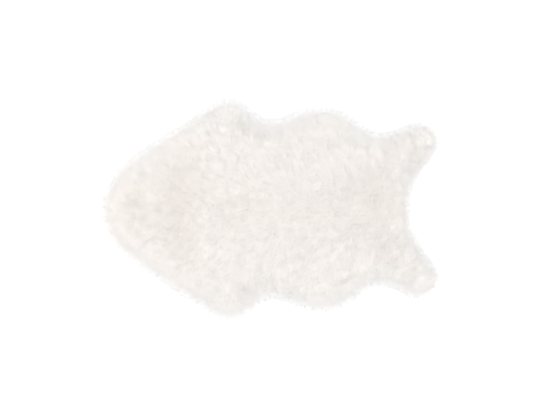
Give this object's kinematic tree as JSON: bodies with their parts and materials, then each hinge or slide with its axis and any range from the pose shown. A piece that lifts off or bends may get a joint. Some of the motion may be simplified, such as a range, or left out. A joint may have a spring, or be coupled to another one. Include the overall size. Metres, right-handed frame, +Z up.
{
  "type": "fur rug",
  "caption": "Flat fur rug with the outline of a sheepskin: rounded nose, two waisted lobes, two short legs with a notch between them, deep lumpy pile and locks of fur over its rim.",
  "frame": {"origin": "on the floor, under the middle of the fur's footprint", "axes": "+X along the rug, from its rounded nose to the end with two legs; +Y across it; +Z up, out of the pile"},
  "size_m": [0.9252, 0.6044, 0.0546],
  "materials": {
    "fur": "matt off-white fur"
  },
  "bodies": {
    "root": {"fur_rug": "fur"}
  },
  "joints": []
}
